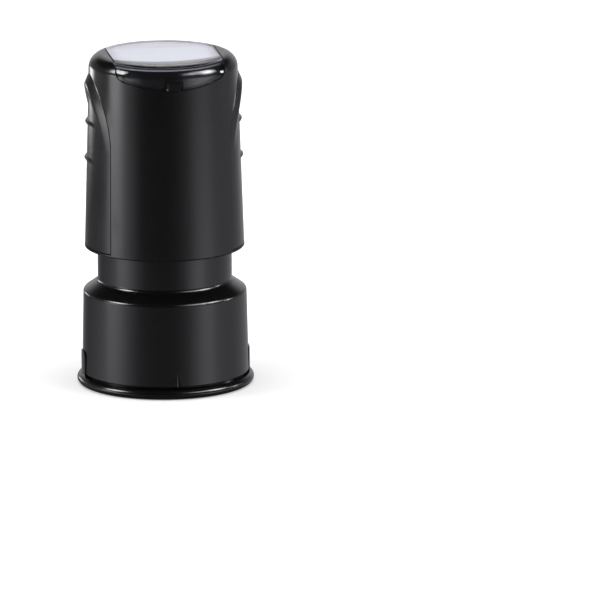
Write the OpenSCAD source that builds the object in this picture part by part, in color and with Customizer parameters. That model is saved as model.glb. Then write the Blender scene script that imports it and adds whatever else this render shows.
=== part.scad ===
// Round pre-inked hand stamp: a base that stands in a dust cap, and a sprung handle that drives
// an inked die down to the paper. Millimetres, +Z up, the front looks along -Y, the side grips
// face -X and +X. Origin: middle of the dust cap's underside.

/* [Dust cap] */
// Thickness of the round-edged foot flange
flange_t = 2; // [1.6:0.1:3]
// How far the flange stands out beyond the foot of the base
flange_out = 1.1; // [0.6:0.05:2]
// Height of the shadow line between flange and base
shadow_gap = 0.45; // [0.2:0.05:0.8]
// Thickness of the cap floor under the die
cap_floor = 1.1; // [0.8:0.1:1.4]
// Wall of the ring that stands inside the base
spigot_wall = 1.2; // [0.8:0.1:2]
// Height of that ring above the flange
spigot_h = 2.6; // [1:0.1:3]
// Width of each side ear
ear_w = 5.2; // [3:0.1:8]
// Height of each ear above the flange
ear_h = 5.1; // [3:0.1:9]
// Thickness of each ear
ear_t = 0.9; // [0.7:0.05:1.1]
// How far an ear stands proud of the base
ear_proud = 0.2; // [0.1:0.02:0.5]

/* [Base] */
// Diameter of the skirt at its foot
base_d = 34.9; // [34:0.1:40]
// Diameter of the skirt at the shoulder edge
shoulder_d = 34.2; // [33:0.1:39]
// Height of the skirt from its foot to the shoulder edge
skirt_h = 17.45; // [16:0.1:24]
// Rise of the shoulder from its edge to the neck
shoulder_rise = 2.1; // [1:0.05:2.4]
// Rounding of the shoulder edge
shoulder_round = 0.8; // [0.3:0.1:1]
// Rounding of the inner corner between shoulder and neck
neck_fillet = 0.9; // [0.3:0.1:1.2]
// Rounding of the skirt's lower edge
foot_round = 0.25; // [0.1:0.05:0.4]
// Wall of the skirt
skirt_wall = 1.95; // [1.7:0.05:2.1]
// Diameter of the neck
neck_d = 28.1; // [27.5:0.05:28.3]
// Wall of the neck
neck_wall = 1.45; // [1.2:0.05:1.5]
// Bare neck between shoulder and handle at rest
neck_bare = 7.1; // [6.6:0.05:10]
// Length of the neck that stays inside the handle
neck_inside = 18; // [15:0.5:19]
// Height of the front pointer
pointer_h = 2.7; // [1.5:0.1:5]
// Width of the front pointer at its foot
pointer_w = 1.2; // [0.6:0.1:2]
// How far the pointer stands proud at its foot
pointer_proud = 0.45; // [0.2:0.05:0.8]

/* [Handle] */
// Diameter of the handle at its lower rim
handle_d = 33.46; // [33:0.02:36]
// Diameter of the handle at its top edge, before rounding
handle_top_d = 30.9; // [30.3:0.02:32]
// Length of the handle
handle_len = 41; // [40:0.25:48]
// Rounding of the top edge
top_round = 2.9; // [2.2:0.1:3.2]
// Clearance between the neck and the bore of the handle
bore_gap = 0.35; // [0.3:0.01:0.4]
// Running clearance between the neck and the guide ribs
guide_gap = 0.1; // [0.05:0.01:0.2]
// Thickness of the deck under the index card
deck_t = 2; // [1.4:0.1:2.4]
// How far the handle is pressed
travel = 5.6; // [4:0.1:6]

/* [Index window] */
// Width of the clear window
window_w = 22.4; // [20:0.1:23.4]
// Thickness of the clear window
window_t = 1.3; // [0.9:0.05:1.5]
// Depth of the window's front and rear skirts below the top
window_drop = 4.95; // [4.2:0.05:5.4]
// Rounding of the skirts' lower corners
window_round = 1.7; // [1:0.1:3]
// Radius of the skirts' lower edge, which sags to the middle
window_sweep = 34; // [26:1:80]
// Seam round the window
window_gap = 0.3; // [0.06:0.01:0.35]
// Width of the catch notch in each skirt
notch_w = 4; // [3.2:0.1:6]
// Height of that notch
notch_h = 1.9; // [1.4:0.1:2.2]
// Width of the catch that stands in the notch
catch_w = 3; // [1.6:0.1:3]
// Chamfer round the catch's face
catch_chamfer = 0.35; // [0.2:0.05:0.5]
// How far the catch's face lies below the handle's side
catch_sunk = 0.25; // [0.1:0.05:0.5]
// Clearance over the catch in the notch
catch_gap = 0.35; // [0.2:0.05:0.5]
// Thickness of the index card
card_t = 0.25; // [0.15:0.05:0.4]
// Free margin round the card
card_margin = 0.15; // [0.1:0.05:1]
// Distance from the stamp's axis to the card's front edge
card_front = 8.6; // [7:0.1:11]
// Radius of the card's front edge
card_sweep = 16.5; // [14:0.5:30]

/* [Side grips] */
// Half width of the grip outline at the foot of its arch
grip_half = 10; // [8:0.1:10.4]
// How much further out each leg of that outline stands at its foot
leg_spread = 0.7; // [0:0.05:1.2]
// Distance from the handle top down to the top of the arch
grip_drop = 3.7; // [3:0.05:6]
// Height of the curved part of the arch
arch_h = 16; // [12:0.5:20]
// Thickness of the grip inlay
grip_t = 0.7; // [0.5:0.05:0.75]
// Seam round each grip
grip_gap = 0.08; // [0.05:0.01:0.12]
// How far the panel inside the arch lies below the surface
panel_sunk = 0.05; // [0.03:0.01:0.25]
// How far the hood stands proud at the top of the arch
hood_proud = 0.9; // [0.4:0.05:1.2]
// Distance from the top of the arch down to the crest of the hood
crest_drop = 2.4; // [1.6:0.1:3]
// Distance from the top of the arch down to the foot of the hood's inner slope
hood_w = 5.4; // [4:0.1:7]
// Width of the chamfer that leads up to the hood along the arch
hood_lead = 2.2; // [1.4:0.1:3]
// Width of the band along the straight sides
band_w = 0.6; // [0.3:0.1:1.5]
// Height of the panel's curved part
panel_arch_h = 22.5; // [16:0.5:24]
// Half width of each finger rib
rib_half = 4.4; // [3:0.1:6]
// Thickness of each finger rib
rib_t = 0.9; // [0.6:0.05:1.2]
// How far each finger rib stands proud
rib_proud = 0.6; // [0.3:0.05:0.8]
// Distance from the handle top down to the upper rib
rib_drop = 14.15; // [12:0.05:18]
// Distance between the two ribs
rib_pitch = 7.65; // [5:0.05:10]

/* [Return spring] */
// Diameter of the wire
wire_d = 0.9; // [0.6:0.05:1]
// Diameter of the coil, middle of wire to middle of wire
coil_d = 17; // [16.6:0.1:20]
// Number of curls
coil_turns = 9; // [6:1:11]

/* [Plunger and adjusting screw] */
// Diameter of the stem
stem_d = 11; // [10:0.1:11.2]
// Depth of each flat on the stem
stem_flat = 1.1; // [0.6:0.1:1.6]
// Clearance round the stem
stem_gap = 0.2; // [0.1:0.02:0.3]
// Wall of the boss that guides the stem
boss_wall = 1.4; // [1:0.1:1.6]
// Wall of the plunger carriage
carriage_wall = 1.8; // [1.2:0.1:2.4]
// Clearance between the carriage and the neck
carriage_gap = 0.3; // [0.2:0.02:0.5]
// Travel of the depth adjustment each way
adjust = 0.5; // [0.2:0.1:0.6]
// Diameter of the screw shank
screw_d = 4; // [3:0.1:5]
// Diameter of the screw head
screw_head_d = 8.4; // [7:0.1:9]
// Thickness of the screw head
screw_head_t = 2; // [1.4:0.1:3]
// Width of the coin slot
coin_slot = 1.2; // [0.8:0.1:1.6]
// Depth of the coin slot
slot_depth = 1.1; // [0.6:0.1:1.3]
// Height of free room over the screw head
head_room = 2; // [1.6:0.1:2.6]
// Thickness of the web that the screw turns in
web_t = 2.2; // [1.6:0.1:2.6]
// Length of screw thread inside the stem
thread_len = 8; // [6:0.5:9]
// Length of the boss below the top of the stem
boss_len = 11; // [9:0.5:13]
// Diameter of the two holes for refilling the ink
refill_d = 2.4; // [1.6:0.1:2.8]
// Thickness of the retaining clip
clip_t = 0.6; // [0.4:0.05:0.8]

/* [Die and cassette] */
// Diameter of the printed ring
imprint_d = 17.5; // [14:0.1:18]
// Width of the printed ring line
imprint_line = 0.7; // [0.4:0.1:1.5]
// Height of the printing relief
relief_h = 0.4; // [0.2:0.05:0.6]
// Thickness of the die's printing pad
pad_t = 1; // [0.8:0.1:1.6]
// Thickness of the die's clamped rim
rim_t = 1; // [0.8:0.1:1.6]
// Width of the clamped rim
rim_w = 1.4; // [1:0.1:2]
// Thickness of the ink reservoir
ink_t = 3.2; // [2:0.1:4]
// Wall of the cassette and of its clamp ring
cassette_wall = 1.1; // [0.8:0.05:1.3]
// Thickness of the cassette's back
cassette_back = 1.4; // [1:0.1:2]

/* [Hidden] */
$fn = 64;
far = 60;
black = "#1d1d20";

// Heights of the base
base_z = flange_t + shadow_gap;
shoulder_z = base_z + skirt_h;
neck_z = shoulder_z + shoulder_rise;
neck_r = neck_d / 2;
bore_r = neck_r - neck_wall;
base_r = base_d / 2;
shoulder_r = shoulder_d / 2;
skirt_in = base_r - skirt_wall;

// Heights of the handle
handle_z = neck_z + neck_bare;
top_z = handle_z + handle_len;
handle_bore = neck_r + bore_gap;
neck_top = handle_z + neck_inside;
upper_bore = handle_bore - 1.1;
head_bore = handle_top_d / 2 - window_t - window_gap - 1.5;
card_z = top_z - window_t - card_t - 0.05;
deck_under = card_z - deck_t;
// Rounding of the deck's edge, just inside the window's
seat_round = top_round - window_t - 0.2;
// Outer radius of the handle at a height
function handle_r(z) = (handle_d + (handle_top_d - handle_d) * (z - handle_z) / handle_len) / 2;

// Spring shelf inside the neck, and the slots that stop the handle
shelf_z = handle_z + 2;
shelf_t = 1.8;
shelf_top = shelf_z + shelf_t;
lug_h = 3;
lug_w = 4.6;
stop_gap = 0.3;
slot_top = neck_top - 2.2;
lug_top = slot_top - stop_gap;
slot_bottom = lug_top - lug_h - travel - stop_gap;

// Die stack, from the printing face upwards
die_face = base_z + travel - 0.1;
pad_z = die_face + relief_h;
rim_z = pad_z + pad_t;
ink_z = rim_z + rim_t;
back_z = ink_z + ink_t;
holder_top = back_z + cassette_back;
pad_r = imprint_d / 2 + 0.7;
rim_r = pad_r + rim_w;
cassette_in = rim_r + 0.1;
cassette_r = cassette_in + cassette_wall;
clamp_in = cassette_r + 0.05;
clamp_r = clamp_in + cassette_wall;

// Plunger
carriage_r = bore_r - carriage_gap;
carriage_in = carriage_r - carriage_wall;
carriage_top = shelf_z - adjust - 0.4;
stem_r = stem_d / 2;
boss_in = stem_r + stem_gap;
boss_r = boss_in + boss_wall;
well_r = screw_head_d / 2 + 0.4;
web_top = card_z - screw_head_t - head_room;
web_under = web_top - web_t;
clip_z = web_under - 0.15 - clip_t;
stem_top = clip_z - adjust - 2.4;
boss_under = stem_top - boss_len;
screw_end = stem_top - thread_len;

// Side grips
arch_top = top_z - grip_drop;
arch_z = arch_top - arch_h;
panel_half = grip_half - band_w;
panel_z = arch_top - hood_w - panel_arch_h;
crest_z = arch_top - crest_drop;
grip_foot = handle_z + 0.6;

// Spring
spring_z = shelf_top + 0.1;
spring_len = deck_under - 0.1 - spring_z;
curl = (spring_len - wire_d) / coil_turns;
echo(spring_self_gap = curl - wire_d);

// Unit vector from p towards q
function toward(p, q) = (q - p) / norm(q - p);

// Closed outline, anticlockwise, with corners eased by true arcs: each corner is [x, y, radius]
module eased(corners) {
    n = len(corners);
    function at(i) = [corners[(i + n) % n][0], corners[(i + n) % n][1]];
    function radius(i) = corners[i][2];
    function u(i) = toward(at(i), at(i - 1));
    function v(i) = toward(at(i), at(i + 1));
    function half(i) = acos(max(-1, min(1, u(i) * v(i)))) / 2;
    function reach(i) = radius(i) / tan(half(i));
    function centre(i) = at(i) + (u(i) + v(i)) / norm(u(i) + v(i)) * radius(i) / sin(half(i));
    function convex(i) = cross(-u(i), v(i)) > 0;
    module sector(i) {
        intersection() {
            translate(centre(i)) circle(radius(i));
            polygon([centre(i), at(i) + u(i) * reach(i), 2 * at(i) - centre(i), at(i) + v(i) * reach(i)]);
        }
    }
    difference() {
        union() {
            polygon([for (i = [0:n - 1]) each radius(i) > 0
                ? [at(i) + u(i) * reach(i), at(i) + v(i) * reach(i)] : [at(i)]]);
            for (i = [0:n - 1]) if (radius(i) > 0 && convex(i)) sector(i);
        }
        for (i = [0:n - 1]) if (radius(i) > 0 && !convex(i)) translate(centre(i)) circle(radius(i));
    }
}

// Plain ring between two radii
module ring(outer, inner, z, h) {
    translate([0, 0, z]) difference() {
        cylinder(r = outer, h = h);
        translate([0, 0, -1]) cylinder(r = inner, h = h + 2);
    }
}

// Solid of the handle's outer shape, shrunk by inset all round, from a given foot height
module handle_solid(inset, foot, round) {
    rotate_extrude() eased([[0, foot, 0], [handle_r(foot) - inset, foot, 0],
        [handle_r(top_z) - inset, top_z - inset, round], [0, top_z - inset, 0]]);
}

// Cone of the handle's side, shrunk by inset, past both ends
module side_cone(inset) {
    translate([0, 0, handle_z - 2]) cylinder(r1 = handle_r(handle_z - 2) - inset,
        r2 = handle_r(top_z + 2) - inset, h = handle_len + 4);
}

// Prism through the handle from front to rear in the window's outline, grown by a seam: the lower
// edge is a wide arc, with rounded corners where it meets the straight sides
module window_prism(grow) {
    half = window_w / 2 + grow;
    r = window_round + grow;
    sweep = window_sweep + grow;
    mid = top_z - window_drop + window_sweep;
    turn = asin((half - r) / (sweep - r));
    corner = mid - (sweep - r) * cos(turn);
    rotate([90, 0, 0]) linear_extrude(height = far, center = true) polygon(concat(
        [for (i = [0:4]) let (a = 180 + i * (90 - turn) / 5) [r - half + r * cos(a), corner + r * sin(a)]],
        [for (i = [0:8]) let (a = 270 - turn + i * turn / 4) [sweep * cos(a), mid + sweep * sin(a)]],
        [for (i = [1:5]) let (a = 270 + turn + i * (90 - turn) / 5) [half - r + r * cos(a), corner + r * sin(a)]],
        [[half, top_z + 5], [-half, top_z + 5]]));
}

// Prism along +X in the outline of an arch with straight legs that spread a little to the foot
module arch_prism(half, centre, rise, foot) {
    wide = half + leg_spread * (centre - foot) / (arch_z - grip_foot);
    rotate([90, 0, 90]) linear_extrude(height = far) polygon(concat(
        [[-wide, foot], [wide, foot]],
        [for (a = [0:9:180]) [half * cos(a), centre + rise * sin(a)]]));
}

// Shallow pocket in the handle's side for the grip on +X
module grip_pocket() {
    difference() {
        arch_prism(grip_half + grip_gap, arch_z, arch_h + grip_gap, grip_foot - grip_gap);
        side_cone(grip_t + grip_gap);
    }
}

// Bulge of the hood: proud at its crest, running out to nothing at the top of the arch and at foot
module hood_solid(foot) {
    rotate_extrude() eased([[0, foot - 8, 0], [handle_r(foot - 8), foot - 8, 0],
        [handle_r(foot), foot, 0], [handle_r(crest_z) + hood_proud, crest_z, 1.2],
        [handle_r(arch_top + 0.3) - 0.05, arch_top + 0.3, 0], [0, arch_top + 0.3, 0]]);
}

// How far the hood stands proud at a height: nothing where the arch springs, most at the crest
function proud_at(z) = hood_proud * max(0, min(1, (z - arch_z) / (crest_z - arch_z)));

// What a chamfer takes off the hood at one place of the arch, given by its angle: the half space
// over a plane that leaves the handle's side at the arch and climbs to the hood over hood_lead
module rim_cut(angle) {
    y = grip_half * cos(angle);
    z = arch_z + arch_h * sin(angle);
    x = sqrt(pow(handle_r(z), 2) - y * y);
    up = [x, y, 0] / norm([x, y, 0]);
    away = [0, cos(angle) / grip_half, sin(angle) / arch_h];
    along = away - up * (away * up);
    face = up * cos(atan(proud_at(z) / hood_lead)) + along / norm(along) * sin(atan(proud_at(z) / hood_lead));
    translate([x, y, z]) rotate([0, acos(face[2]), atan2(face[1], face[0])])
        translate([-far / 2, -far / 2, 0]) cube(far);
}

// The hood of the grip on +X: a brow at the top and a band that thins out down both sides
module hood() {
    difference() {
        union() {
            hood_solid(arch_top - hood_w);
            difference() {
                hood_solid(arch_z);
                arch_prism(panel_half, panel_z, panel_arch_h, grip_foot - 5);
            }
        }
        // The brow leads up by itself, so the chamfer runs up both sides of the arch to it
        for (angle = [12:16:60]) {
            rim_cut(angle);
            rim_cut(180 - angle);
        }
    }
}

// One finger rib: the rim of a disc set back into the handle so that it tapers at both ends
module finger_rib(z) {
    r = handle_r(z) - panel_sunk;
    edge = r + rib_proud;
    chord = sqrt(r * r - rib_half * rib_half);
    set_in = (edge * edge - chord * chord - rib_half * rib_half) / (2 * (edge - chord));
    translate([set_in, 0, z]) rotate_extrude() difference() {
        union() {
            translate([0, -rib_t / 2]) square([edge - set_in - rib_t / 2, rib_t]);
            translate([edge - set_in - rib_t / 2, 0]) circle(rib_t / 2);
        }
        translate([-far, -far / 2]) square([far, far]);
    }
}

// Side grip on +X
module side_grip() {
    intersection() {
        arch_prism(grip_half, arch_z, arch_h, grip_foot);
        difference() {
            union() {
                side_cone(panel_sunk);
                difference() {
                    side_cone(0);
                    arch_prism(panel_half, panel_z, panel_arch_h, grip_foot - 5);
                }
                hood();
                for (i = [0, 1]) finger_rib(top_z - rib_drop - i * rib_pitch);
            }
            side_cone(grip_t);
        }
    }
}

module dust_cap() color(black) {
    spigot_r = skirt_in - 0.35;
    difference() {
        union() {
            rotate_extrude() union() {
                square([base_r, flange_t]);
                translate([base_r - flange_t / 2 + flange_out, flange_t / 2]) circle(flange_t / 2);
            }
            ring(base_r - 0.8, spigot_r - spigot_wall, flange_t - 0.5, shadow_gap + 0.5);
            ring(spigot_r, spigot_r - spigot_wall, flange_t - 0.5, spigot_h + 0.5);
            for (side = [0, 180]) rotate([0, 0, side]) intersection() {
                ring(base_r + ear_proud, base_r + ear_proud - ear_t, flange_t / 2, far);
                translate([0, -ear_w / 2, 0]) rotate([90, 0, 90]) linear_extrude(height = far)
                    polygon(concat([[0, 0], [ear_w, 0]],
                        [for (a = [0:15:90]) [ear_w - 1 + cos(a), flange_t + ear_h - 1 + sin(a)]],
                        [for (a = [90:15:180]) [1 + cos(a), flange_t + ear_h - 1 + sin(a)]]));
            }
        }
        translate([0, 0, cap_floor]) cylinder(r = spigot_r - spigot_wall, h = far);
        translate([0, 0, -1]) cylinder(r = skirt_in - 1.2, h = 1.3);
    }
}

// Pointed mark at the front foot of the base: proud below, running out to the wall at its tip
module pointer() {
    foot = base_z + 0.3;
    intersection() {
        translate([0, 0, foot - 0.5])
            cylinder(r1 = base_r + pointer_proud, r2 = base_r - 0.1, h = pointer_h + 0.5);
        rotate([90, 0, 0]) translate([0, 0, base_r - 0.9]) linear_extrude(height = far)
            polygon([[-pointer_w / 2, foot], [pointer_w / 2, foot], [0, foot + pointer_h]]);
    }
}

module base_body() color(black) {
    difference() {
        union() {
            rotate_extrude() eased([[0, base_z, 0], [base_r, base_z, foot_round],
                [shoulder_r, shoulder_z, shoulder_round], [neck_r, neck_z, neck_fillet],
                [neck_r, neck_top, 0.4], [0, neck_top, 0]]);
            pointer();
        }
        // Hollow of the skirt, and the bore of the neck below and above the spring shelf
        rotate_extrude() polygon([[0, base_z - 1], [skirt_in, base_z - 1],
            [shoulder_r - skirt_wall, shoulder_z - 1.4], [bore_r, shoulder_z + 0.2],
            [bore_r, shelf_z], [0, shelf_z]]);
        translate([0, 0, shelf_top]) cylinder(r = bore_r, h = far);
        // Hole of the shelf, with two flats that keep the stem from turning
        translate([0, 0, shelf_z - 1]) intersection() {
            cylinder(r = stem_r + stem_gap, h = shelf_t + 2);
            flat = 2 * (stem_r - stem_flat + stem_gap);
            translate([-far / 2, -flat / 2, 0]) cube([far, flat, far]);
        }
        // Front and rear slots for the handle's stop lugs
        translate([-lug_w / 2 - 0.2, -far / 2, slot_bottom])
            cube([lug_w + 0.4, far, slot_top - slot_bottom]);
        // Seats of the dust cap's ears
        for (side = [0, 180]) rotate([0, 0, side]) difference() {
            translate([skirt_in / 2, -ear_w / 2 - 0.25, base_z - shadow_gap])
                cube([far, ear_w + 0.5, ear_h + 0.25]);
            translate([0, 0, -1]) cylinder(r = base_r + ear_proud - ear_t - 0.25, h = far);
        }
    }
}

// Point k of the six round the wire, on ring i of eight to a curl
function wire_point(i, k) = let(r = coil_d / 2 + wire_d / 2 * cos(60 * k))
    [r * cos(45 * i), r * sin(45 * i),
     spring_z + wire_d / 2 + curl * i / 8 + wire_d / 2 * sin(60 * k)];

module return_spring() color("#c9cbd0") {
    rings = 8 * coil_turns;
    sides = 6;
    polyhedron(points = [for (i = [0:rings]) for (k = [0:sides - 1]) wire_point(i, k)],
        faces = concat(
            [[for (k = [0:sides - 1]) k]],
            [for (i = [0:rings - 1]) for (k = [0:sides - 1])
                [i * sides + k, (i + 1) * sides + k, (i + 1) * sides + (k + 1) % sides,
                 i * sides + (k + 1) % sides]],
            [[for (k = [sides - 1:-1:0]) rings * sides + k]]));
}

// Catch that stands in the front notch of the window, with its face chamfered on three sides
module catch() {
    face = handle_r(top_z - window_drop) - catch_sunk;
    foot = top_z - window_drop - window_gap - 0.5;
    top = top_z - window_drop + notch_h - catch_gap;
    root = face - window_t - 0.6;
    half = catch_w / 2;
    c = catch_chamfer;
    intersection() {
        translate([0, 0, foot]) linear_extrude(height = far) polygon([[-half, -root], [-half, c - face],
            [c - half, -face], [half - c, -face], [half, c - face], [half, -root]]);
        rotate([90, 0, 90]) linear_extrude(height = far, center = true) polygon([[-root, foot],
            [-face, foot], [-face, top - c], [c - face, top], [-root, top]]);
    }
}

module handle_shell() color(black) {
    difference() {
        union() {
            difference() {
                rotate_extrude() eased([[0, handle_z, 0], [handle_d / 2, handle_z, 0.3],
                    [handle_r(top_z), top_z, top_round], [0, top_z, 0]]);
                // Stepped cavity: bore for the neck, then narrower above it
                rotate_extrude() polygon([[0, handle_z - 1], [handle_bore, handle_z - 1],
                    [handle_bore, neck_top + travel + 1.5], [upper_bore, neck_top + travel + 2.6],
                    [upper_bore, top_z - window_drop - 2.6], [head_bore, top_z - window_drop - 1.6],
                    [head_bore, deck_under], [0, deck_under]]);
                // Seat of the clear window
                difference() {
                    window_prism(window_gap);
                    rotate_extrude() eased([[0, handle_z, 0],
                        [handle_r(handle_z) - window_t - window_gap, handle_z, 0],
                        [handle_r(top_z) - window_t - window_gap, card_z, seat_round], [0, card_z, 0]]);
                }
                grip_pocket();
                rotate([0, 0, 180]) grip_pocket();
            }
            // Boss that guides the stem and carries the screw
            translate([0, 0, boss_under]) cylinder(r = boss_r, h = deck_under - boss_under + 0.5);
            // Guide ribs that run on the neck
            for (a = [45:90:315]) rotate([0, 0, a]) intersection() {
                ring(handle_bore + 0.4, neck_r + guide_gap, handle_z + 0.6, neck_inside - 2);
                translate([0, -0.8, 0]) cube([far, 1.6, far * 2]);
            }
            // Stop lugs that ride in the slots of the neck
            intersection() {
                ring(handle_bore + 0.4, bore_r + 0.3, lug_top - lug_h, lug_h);
                translate([-lug_w / 2, -far / 2, 0]) cube([lug_w, far, far * 2]);
            }
            // Catches in the window's notches
            for (side = [0, 180]) rotate([0, 0, side]) catch();
        }
        // Well for the screw head, hole for its shank, and bore for the stem
        translate([0, 0, web_top]) cylinder(r = well_r, h = far);
        translate([0, 0, web_under - 1]) cylinder(r = screw_d / 2 + 0.15, h = far);
        translate([0, 0, boss_under - 1]) cylinder(r = boss_in, h = web_under - boss_under + 1);
    }
}

module grip_left() color("#1a1a1c") rotate([0, 0, 180]) side_grip();

module grip_right() color("#1a1a1c") side_grip();

module index_window() color("#dfe4ee") {
    difference() {
        intersection() {
            window_prism(0);
            difference() {
                handle_solid(0, handle_z, top_round);
                handle_solid(window_t, handle_z - 1, top_round - window_t);
            }
        }
        translate([-notch_w / 2, -far / 2, top_z - window_drop - 1]) cube([notch_w, far, notch_h + 1]);
    }
}

module index_card() color("#f2f2f6") {
    translate([0, 0, card_z]) intersection() {
        cylinder(r = handle_r(top_z) - window_t - window_gap - seat_round - card_margin, h = card_t);
        translate([0, card_sweep - card_front, 0]) cylinder(r = card_sweep, h = card_t);
        half = window_w / 2 - card_margin;
        translate([-half, -far / 2, -1]) cube([2 * half, far, 3]);
    }
}

module plunger() color("#e6e4dc") {
    difference() {
        union() {
            translate([0, 0, holder_top]) cylinder(r = carriage_r, h = carriage_top - holder_top);
            intersection() {
                translate([0, 0, carriage_top - 1]) cylinder(r = stem_r, h = stem_top - carriage_top + 1);
                flat = 2 * (stem_r - stem_flat);
                translate([-far / 2, -flat / 2, 0]) cube([far, flat, far * 2]);
            }
        }
        translate([0, 0, holder_top - 1])
            cylinder(r = carriage_in, h = carriage_top - carriage_wall - holder_top + 1);
        // Bore for the screw, and two holes for refilling the ink
        translate([0, 0, screw_end - adjust - 0.6]) cylinder(r = screw_d / 2 + 0.05, h = far);
        for (side = [-1, 1]) translate([side * (stem_r + carriage_in) / 2, 0, holder_top])
            cylinder(r = refill_d / 2, h = far);
    }
}

module adjusting_screw() color("#d8d6cc") {
    difference() {
        union() {
            translate([0, 0, web_top]) rotate_extrude() eased([[0, 0, 0], [screw_head_d / 2, 0, 0],
                [screw_head_d / 2, screw_head_t, 0.5], [0, screw_head_t, 0]]);
            translate([0, 0, screw_end]) cylinder(r = screw_d / 2, h = web_top - screw_end + 0.5);
        }
        translate([-far / 2, -coin_slot / 2, web_top + screw_head_t - slot_depth])
            cube([far, coin_slot, far]);
        ring(screw_d, screw_d / 2 - 0.5, clip_z - 0.05, clip_t + 0.1);
    }
}

module screw_clip() color("#9b9ea3") {
    inner = screw_d / 2 - 0.45;
    translate([0, 0, clip_z]) difference() {
        cylinder(r = boss_in - stem_gap - 1.6, h = clip_t);
        translate([0, 0, -1]) cylinder(r = inner, h = clip_t + 2);
        translate([0, -inner * 0.8, -1]) cube([far, inner * 1.6, clip_t + 2]);
    }
}

module die_holder() color("#cfd3d6") {
    difference() {
        union() {
            translate([0, 0, rim_z]) cylinder(r = cassette_r, h = holder_top - rim_z);
            translate([0, 0, back_z]) cylinder(r = clamp_r, h = cassette_back);
            translate([0, 0, holder_top - 0.5]) cylinder(r = carriage_in - 0.1, h = 4);
        }
        translate([0, 0, rim_z - 1]) cylinder(r = cassette_in, h = back_z - rim_z + 1);
        // Ink wells above the reservoir
        translate([0, 0, holder_top]) cylinder(r = carriage_in - 1.4, h = far);
        for (side = [-1, 1]) translate([side * 5, 0, back_z - 1]) cylinder(r = 1.2, h = far);
    }
}

module ink_reservoir() color("#27345e") {
    translate([0, 0, ink_z]) cylinder(r = cassette_in - 0.05, h = ink_t);
}

module printing_die() color("#3b4a78") {
    translate([0, 0, rim_z]) cylinder(r = rim_r, h = rim_t);
    translate([0, 0, pad_z]) cylinder(r = pad_r, h = pad_t + 0.1);
    ring(imprint_d / 2, imprint_d / 2 - imprint_line, die_face, relief_h + 0.1);
    ring(imprint_d / 2 - 2.2, imprint_d / 2 - 2.5, die_face, relief_h + 0.1);
}

module clamp_ring() color("#b9bdc2") {
    lip_z = pad_z + 0.3;
    ring(clamp_r, clamp_in, lip_z, back_z - lip_z);
    ring(clamp_r, pad_r + 0.15, lip_z, rim_z - lip_z);
}

dust_cap();
base_body();
return_spring();
handle_shell();
grip_left();
grip_right();
index_window();
index_card();
plunger();
adjusting_screw();
screw_clip();
die_holder();
ink_reservoir();
printing_die();
clamp_ring();
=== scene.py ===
"""Looks of a round pre-inked hand stamp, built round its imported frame.

Every length in the shape functions is in millimetres, in the frame's own axes: +Z up, the front
looks along -Y, the side grips face -X and +X. The pieces are laid out as the operators of a small
sidebar panel.
"""

import math

import bpy
import numpy as np
from bpy.props import FloatProperty, FloatVectorProperty, IntProperty, PointerProperty
from mathutils import Matrix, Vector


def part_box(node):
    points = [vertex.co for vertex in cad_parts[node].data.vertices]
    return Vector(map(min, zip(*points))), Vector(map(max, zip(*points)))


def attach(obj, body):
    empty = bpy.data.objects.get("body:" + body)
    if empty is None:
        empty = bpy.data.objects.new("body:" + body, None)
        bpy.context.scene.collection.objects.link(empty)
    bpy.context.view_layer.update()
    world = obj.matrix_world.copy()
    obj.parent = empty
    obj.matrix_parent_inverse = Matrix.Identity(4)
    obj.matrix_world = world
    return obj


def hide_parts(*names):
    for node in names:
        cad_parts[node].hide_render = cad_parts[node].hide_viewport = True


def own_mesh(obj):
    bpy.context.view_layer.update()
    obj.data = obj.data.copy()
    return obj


bl_info = {
    "name": "Round hand stamp",
    "version": (1, 0, 0),
    "blender": (4, 5, 0),
    "location": "3D View > Sidebar > Hand stamp",
    "description": "Builds the looks of a round pre-inked hand stamp round its frame",
    "category": "Object",
}

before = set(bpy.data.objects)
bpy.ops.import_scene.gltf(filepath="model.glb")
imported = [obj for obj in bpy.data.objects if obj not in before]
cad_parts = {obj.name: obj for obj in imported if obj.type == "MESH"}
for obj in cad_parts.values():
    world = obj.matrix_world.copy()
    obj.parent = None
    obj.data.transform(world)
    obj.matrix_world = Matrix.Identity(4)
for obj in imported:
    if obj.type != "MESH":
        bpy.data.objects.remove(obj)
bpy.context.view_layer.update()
MM = 0.001

# Camera that stands where the picture was taken: degrees, millimetres and pixels of a square frame
CAMERA = {"azimuth": -9.05, "elevation": 13.05, "roll": -0.28, "distance": 1780.0, "aside": 28.25,
          "height": 17.21, "focal_px": 8500.0, "frame_px": 600, "sensor": 36}
# Light of the studio that the plastic mirrors, by bearing from the camera: degrees to the right and
# radiance. The base mirrors the lowest band of the walls, the handle the band above it, and rounded
# edges what is over the horizon
STUDIO = {
    "low": [(-180, 0.5), (-160, 0.32), (-140, 0.18), (-120, 0.36), (-100, 0.8), (-88, 1.1), (-78, 1.55),
            (-66, 1.35), (-54, 0.88), (-42, 0.5), (-28, 0.28), (-10, 0.21), (10, 0.21), (28, 0.38),
            (40, 0.82), (52, 1.4), (61, 1.7), (72, 1.25), (86, 0.82), (110, 0.54), (140, 0.46), (180, 0.5)],
    "high": [(-180, 0.6), (-160, 0.22), (-140, 0.1), (-120, 0.12), (-102, 0.22), (-91, 0.7), (-81, 2.6),
             (-71, 2.6), (-60, 1.65), (-50, 1.0), (-40, 0.48), (-30, 0.16), (-10, 0.1), (10, 0.11),
             (28, 0.3), (40, 0.62), (52, 1.15), (62, 1.28), (78, 0.88), (100, 0.56), (130, 0.4),
             (160, 0.66), (180, 0.6)],
    "over": [(-180, 0.7), (-166, 0.7), (-154, 0.35), (-142, 0.22), (-104, 0.2), (-60, 0.1), (-30, 0.04),
             (30, 0.04), (60, 0.08), (110, 0.12), (135, 0.3), (152, 0.5), (166, 0.7), (180, 0.7)],
}
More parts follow.
